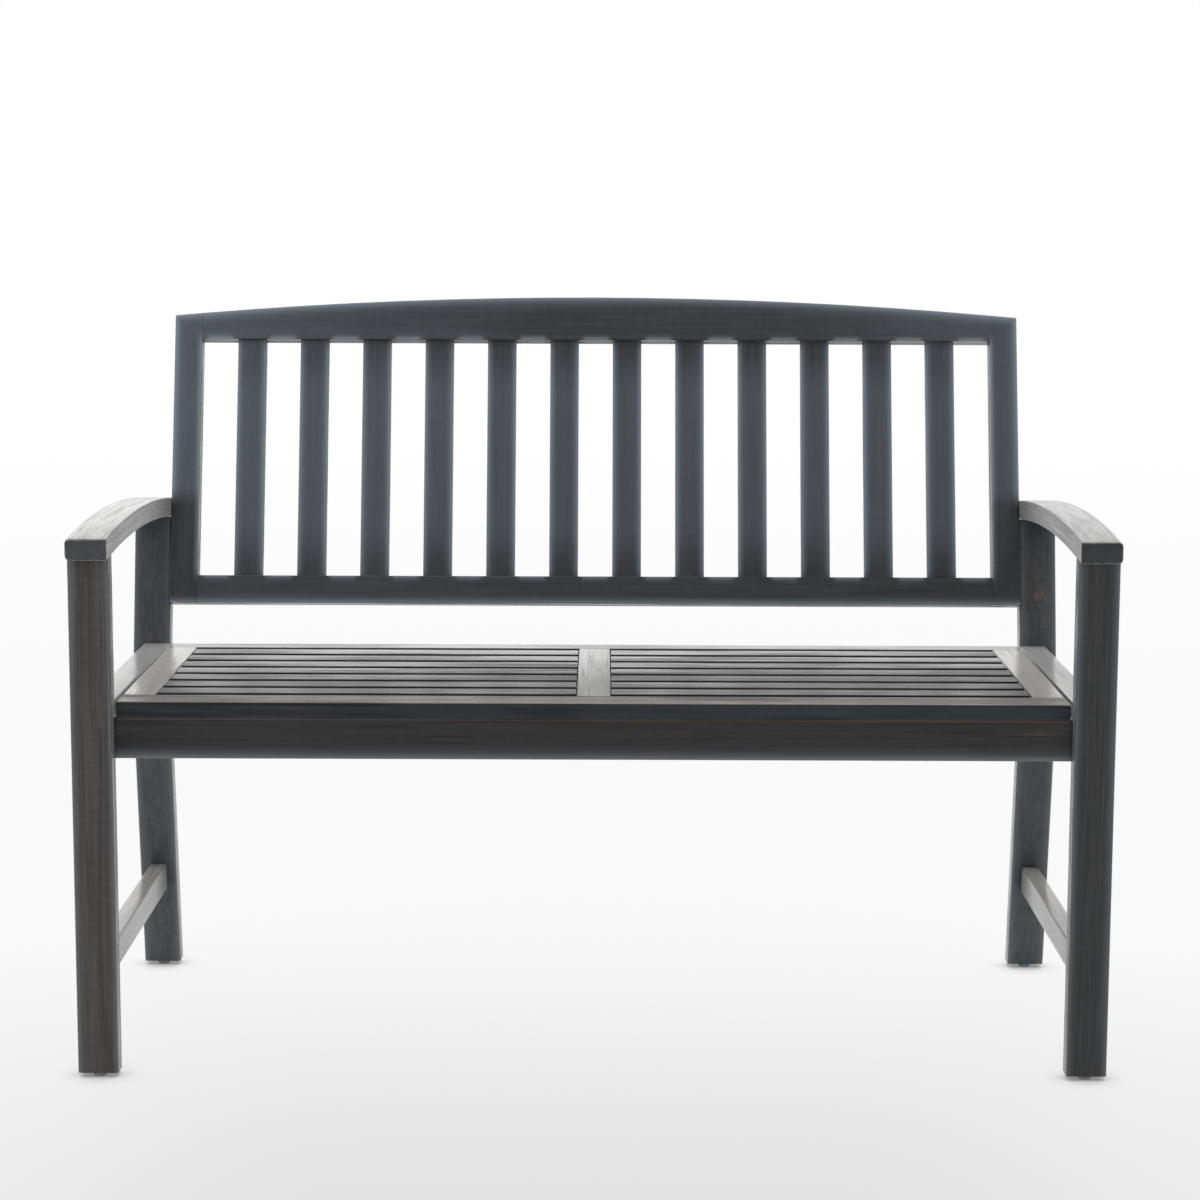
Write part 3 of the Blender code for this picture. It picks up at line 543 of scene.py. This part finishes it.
def satin(nodes, faded, fibre, dullness):
    """Roughness of the finish: its wear, its fibres and its piece's dullness."""
    roughness = nodes.remap(faded, 0.0, 1.0, ROUGH_DULL, ROUGH_RUBBED)
    roughness = nodes.math("MULTIPLY", roughness, nodes.remap(fibre, *FIBRE_RANGE, *ROUGH_FIBRE))
    return nodes.math("MULTIPLY", roughness, dullness)


def stained_wood(stain, grain, outline):
    """Dark stained hardwood: grain, pores, worn upper faces with painted reflection, flecks, paler edges of
    painted glare and a satin finish.
    """
    made, nodes, output = new_material(f"{stain}_wood_{grain}")
    place = piece_coordinates(nodes, stain)
    seeded = nodes.vector("ADD", place, property_of(nodes, "grain_seed"))
    normal = nodes.add("ShaderNodeNewGeometry").outputs["Normal"]
    tone, dullness, worn_and_reflection_sides = nodes.parts(property_of(nodes, "finish"))
    fibre = pattern(nodes, seeded, grain, FIBRE, detail=5, roughness=0.65)
    pores = nodes.remap(pattern(nodes, seeded, grain, PORES, detail=2), *PORE_RANGE)
    wear = pattern(nodes, seeded, grain, WEAR[grain], detail=4, roughness=0.6, distortion=0.4)
    edge = WEAR_EDGE[grain]
    faded = nodes.remap(nodes.weighed(wear, fibre, WEAR_SHARE), NOISE_MIDDLE - edge, NOISE_MIDDLE + edge)

    colour = stain_colour(nodes, seeded, normal, stain, grain, fibre, pores)
    colour = with_wear_and_reflection(nodes, colour, normal, faded, worn_and_reflection_sides)
    colour = with_bare_wood(nodes, colour, place, seeded, stain, grain)
    colour = with_tone(nodes, colour, seeded, grain, tone)
    # Paler edges: painted glare of the bright surround; on the seat's front rail, bare wood rubbed through
    if grain in PALE_AXIS:
        pale = STAINS[stain][2]
        colour = nodes.mix(pale_edges(nodes, place, normal, stain, grain, outline), colour, pale)

    relief = nodes.math("SUBTRACT", fibre, nodes.math("MULTIPLY", pores, PORE_DEPTH))
    surface = nodes.bump(relief, *GRAIN_BUMP)
    shader = nodes.principled(output, colour, satin(nodes, faded, fibre, dullness), surface)
    shader.inputs["Specular IOR Level"].default_value = SPECULAR
    shader.inputs["Sheen Weight"].default_value = SHEEN_DEPTH if grain == "depth" else SHEEN[stain]
    shader.inputs["Sheen Roughness"].default_value = SHEEN_ROUGHNESS
    shader.inputs["Sheen Tint"].default_value = WHITE
    return made


def moulded_plastic():
    """Pale nylon of the glides, a little scuffed and dirty."""
    made, nodes, output = new_material("glide_nylon")
    place = nodes.add("ShaderNodeTexCoord").outputs["Object"]
    scuff = nodes.noise(nodes.vector("MULTIPLY", place, GLIDE_SCUFF), detail=4)
    colour = nodes.mix(nodes.remap(scuff, *GLIDE_DIRT_RANGE), GLIDE_CLEAN, GLIDE_DIRTY)
    roughness = nodes.remap(scuff, *ROUGH_RANGE, *GLIDE_ROUGH)
    nodes.principled(output, colour, roughness, nodes.bump(scuff, *GLIDE_BUMP))
    return made


def plated_steel():
    """Zinc plating of the bolts, with a fine mottle."""
    made, nodes, output = new_material("zinc_plating")
    place = nodes.add("ShaderNodeTexCoord").outputs["Object"]
    mottle = nodes.noise(nodes.vector("MULTIPLY", place, ZINC_MOTTLE), detail=4)
    colour = nodes.mix(nodes.remap(mottle, *ZINC_RANGE), ZINC_DARK, ZINC_LIGHT)
    roughness = nodes.remap(mottle, *ROUGH_RANGE, *ZINC_ROUGH)
    shader = nodes.principled(output, colour, roughness, nodes.bump(mottle, *ZINC_BUMP))
    shader.inputs["Metallic"].default_value = 1.0
    return made


def looked_up(table, name, otherwise):
    """The entry of a table by the start of a piece's name."""
    return next((entry for start, entry in table.items() if name.startswith(start)), otherwise)


def dress(name, node, material, number):
    """A smooth-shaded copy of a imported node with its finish, which stands for the node."""
    bm = bmesh.new()
    bm.from_mesh(node.data)
    bmesh.ops.remove_doubles(bm, verts=bm.verts, dist=WELD)
    mesh = bpy.data.meshes.new(f"{name}_finished")
    bm.to_mesh(mesh)
    bm.free()
    mesh.shade_smooth()
    mesh.set_sharp_from_angle(angle=SMOOTH_EDGE)
    mesh.materials.append(material)
    piece = bpy.data.objects.new(f"{name}_finished", mesh)
    bpy.context.scene.collection.objects.link(piece)
    flats = piece.modifiers.new("flats", "WEIGHTED_NORMAL")
    flats.keep_sharp = True
    flats.weight = FLAT_WEIGHT
    describe(piece, name, number)
    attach(piece, "root")
    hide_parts(name)


def own_places(mesh, stain):
    """The points of a mesh in its piece's own coordinates, as its shader has them."""
    turn = Matrix.Rotation(RECLINE if stain == "back" else 0.0, 3, "X")
    return [turn @ vertex.co for vertex in mesh.vertices]


def describe(piece, name, number):
    """Numbers that the wood's shaders read from a piece: seed, finish, wear and painted reflection, box,
    edges of painted glare and rubbed place.
    """
    stain, _, tone = looked_up(PIECES, name, NOT_WOOD)
    places = own_places(piece.data, stain)
    wear = 1 + looked_up(WORN_AND_REFLECTION_SPREAD, name, 0.0) * (number * SEED_STEP % 1 - 0.5)
    piece["grain_seed"] = [number * SEED_STEP, number * SEED_STEP * 2, number * SEED_STEP * 3]
    piece["finish"] = [tone, looked_up(ROUGHNESS, name, 1.0), looked_up(WORN_AND_REFLECTION_SIDES, name, 0.0)]
    piece["worn_and_reflection_tint"] = [channel * wear for channel in looked_up(WORN_AND_REFLECTION_TINT, name, (1, 1, 1))]
    piece["box_low"] = [min(place[i] for place in places) for i in range(3)]
    piece["box_high"] = [max(place[i] for place in places) for i in range(3)]
    piece["pale_reach"] = [*looked_up(PALE_REACH, name, (NO_REACH, NO_REACH)), 0.0]
    piece["rubbed_place"] = RUBBED_PLACE if name == RUBBED_PIECE else NOWHERE


def back_outline(nodes):
    """The back's foot, its opening's lower and upper end, its crown, a stile's sides and the slats' pitch."""
    bottom = [place.z for place in own_places(nodes["back_bottom_rail"].data, "back")]
    top = [place.z for place in own_places(nodes["back_top_rail"].data, "back")]
    stile = [place.x for place in own_places(nodes["back_stile_right"].data, "back")]
    first, second = (min(place.x for place in own_places(nodes[name].data, "back")) for name in SLAT_PAIR)
    pitch = abs(second - first)
    return Outline(min(bottom), max(bottom), min(top), max(top), min(stile), max(stile), pitch)


def dress_bench(frame):
    slots = {part["node"]: part["material_slot"] for part in frame["record"]["subparts"]}
    outline = back_outline(frame["nodes"])
    finishes = {"glide": moulded_plastic(), "bolt": plated_steel()}
    for number, name in enumerate(sorted(frame["nodes"])):
        stain, grain, _ = looked_up(PIECES, name, NOT_WOOD)
        finish = (stain, grain) if stain else slots[name]
        if finish not in finishes:
            finishes[finish] = stained_wood(stain, grain, outline)
        dress(name, frame["nodes"][name], finishes[finish], number)


def floor_glow(nodes):
    """Brightness of the floor by itself: dimmer in front of the bench, a painted shadow, and close to
    whatever stands on it, a painted contact shadow.
    """
    place = nodes.add("ShaderNodeTexCoord").outputs["Object"]
    along, depth, _ = nodes.parts(place)
    glow = nodes.remap(depth, *FLOOR_DEPTHS, FLOOR_FRONT, FLOOR_UNDER)
    in_front = nodes.remap(depth, *reversed(FLOOR_DEPTHS), 0.0, FLOOR_SIDES)
    beside = nodes.remap(nodes.math("ABSOLUTE", along), *FLOOR_WIDTHS)
    glow = nodes.math("ADD", glow, nodes.math("MULTIPLY", in_front, beside))
    far = nodes.remap(nodes.length(place), *FLOOR_REACH)
    near_glow = nodes.math("MULTIPLY", glow, nodes.math("SUBTRACT", 1.0, far))
    glow = nodes.math("ADD", near_glow, nodes.math("MULTIPLY", far, FLOOR_FAR))
    # painted contact shadow: occlusion near the feet darkens the floor's own glow
    contact = nodes.add("ShaderNodeAmbientOcclusion")
    contact.inputs["Distance"].default_value = CONTACT_REACH
    return nodes.math("MULTIPLY", glow, nodes.remap(contact.outputs["AO"], 0.0, 1.0, CONTACT_DARK, 1.0))


def floor_paper():
    """Pale paper. In view and in reflections most of its brightness is its own, like the background's."""
    made, nodes, output = new_material("floor_paper")
    path = nodes.add("ShaderNodeLightPath")
    seen = nodes.math("MAXIMUM", path.outputs["Is Camera Ray"], path.outputs["Is Glossy Ray"])
    seen = nodes.math("MAXIMUM", seen, path.outputs["Is Transmission Ray"])
    diffuse = nodes.add("ShaderNodeBsdfDiffuse")
    nodes.feed(diffuse.inputs["Color"], nodes.mix(seen, FLOOR_COLOUR, FLOOR_SHADOW))
    emission = nodes.add("ShaderNodeEmission")
    nodes.feed(emission.inputs["Strength"], nodes.math("MULTIPLY", floor_glow(nodes), seen))
    both = nodes.add("ShaderNodeAddShader")
    nodes.feed(both.inputs[0], diffuse.outputs[0])
    nodes.feed(both.inputs[1], emission.outputs[0])
    nodes.feed(output.inputs["Surface"], both.outputs[0])
    return made


def floor():
    bm = bmesh.new()
    bmesh.ops.create_grid(bm, x_segments=1, y_segments=1, size=FLOOR_SIZE / 2)
    mesh = bpy.data.meshes.new("floor")
    bm.to_mesh(mesh)
    bm.free()
    mesh.materials.append(floor_paper())
    made = bpy.data.objects.new("floor", mesh)
    bpy.context.scene.collection.objects.link(made)


def studio_light():
    """A white surround, brightest behind the bench and dimmer on the viewer's side."""
    world = bpy.data.worlds.new("studio")
    world.use_nodes = True
    bpy.context.scene.world = world
    nodes = Nodes(world.node_tree)
    background = world.node_tree.nodes["Background"]
    direction = nodes.add("ShaderNodeTexCoord").outputs["Generated"]
    aside, backward, _ = nodes.parts(direction)
    behind = nodes.remap(aside, -BACK_SPREAD, BACK_SPREAD, *BACK_LIGHT)
    surround = nodes.remap(backward, *BACK_RANGE, FRONT_LIGHT, behind)
    path = nodes.add("ShaderNodeLightPath")
    hidden = nodes.math("SUBTRACT", 1.0, path.outputs["Is Camera Ray"])
    shown = nodes.math("MULTIPLY", path.outputs["Is Camera Ray"], BACKGROUND)
    strength = nodes.math("ADD", nodes.math("MULTIPLY", surround, hidden), shown)
    background.inputs["Color"].default_value = WHITE
    nodes.feed(background.inputs["Strength"], strength)


def camera():
    data = bpy.data.cameras.new("camera")
    data.lens = CAMERA_LENS
    data.sensor_width = CAMERA_SENSOR
    made = bpy.data.objects.new("camera", data)
    turn = Matrix.Rotation(CAMERA_YAW, 4, "Z") @ Matrix.Rotation(math.pi / 2 - CAMERA_PITCH, 4, "X")
    made.matrix_world = Matrix.Translation(CAMERA_PLACE) @ turn @ Matrix.Rotation(CAMERA_ROLL, 4, "Z")
    bpy.context.scene.collection.objects.link(made)
    bpy.context.scene.camera = made


for leftover in list(bpy.data.objects):
    bpy.data.objects.remove(leftover, do_unlink=True)
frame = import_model()
dress_bench(frame)
floor()
studio_light()
camera()
bpy.context.scene.view_settings.view_transform = "Standard"
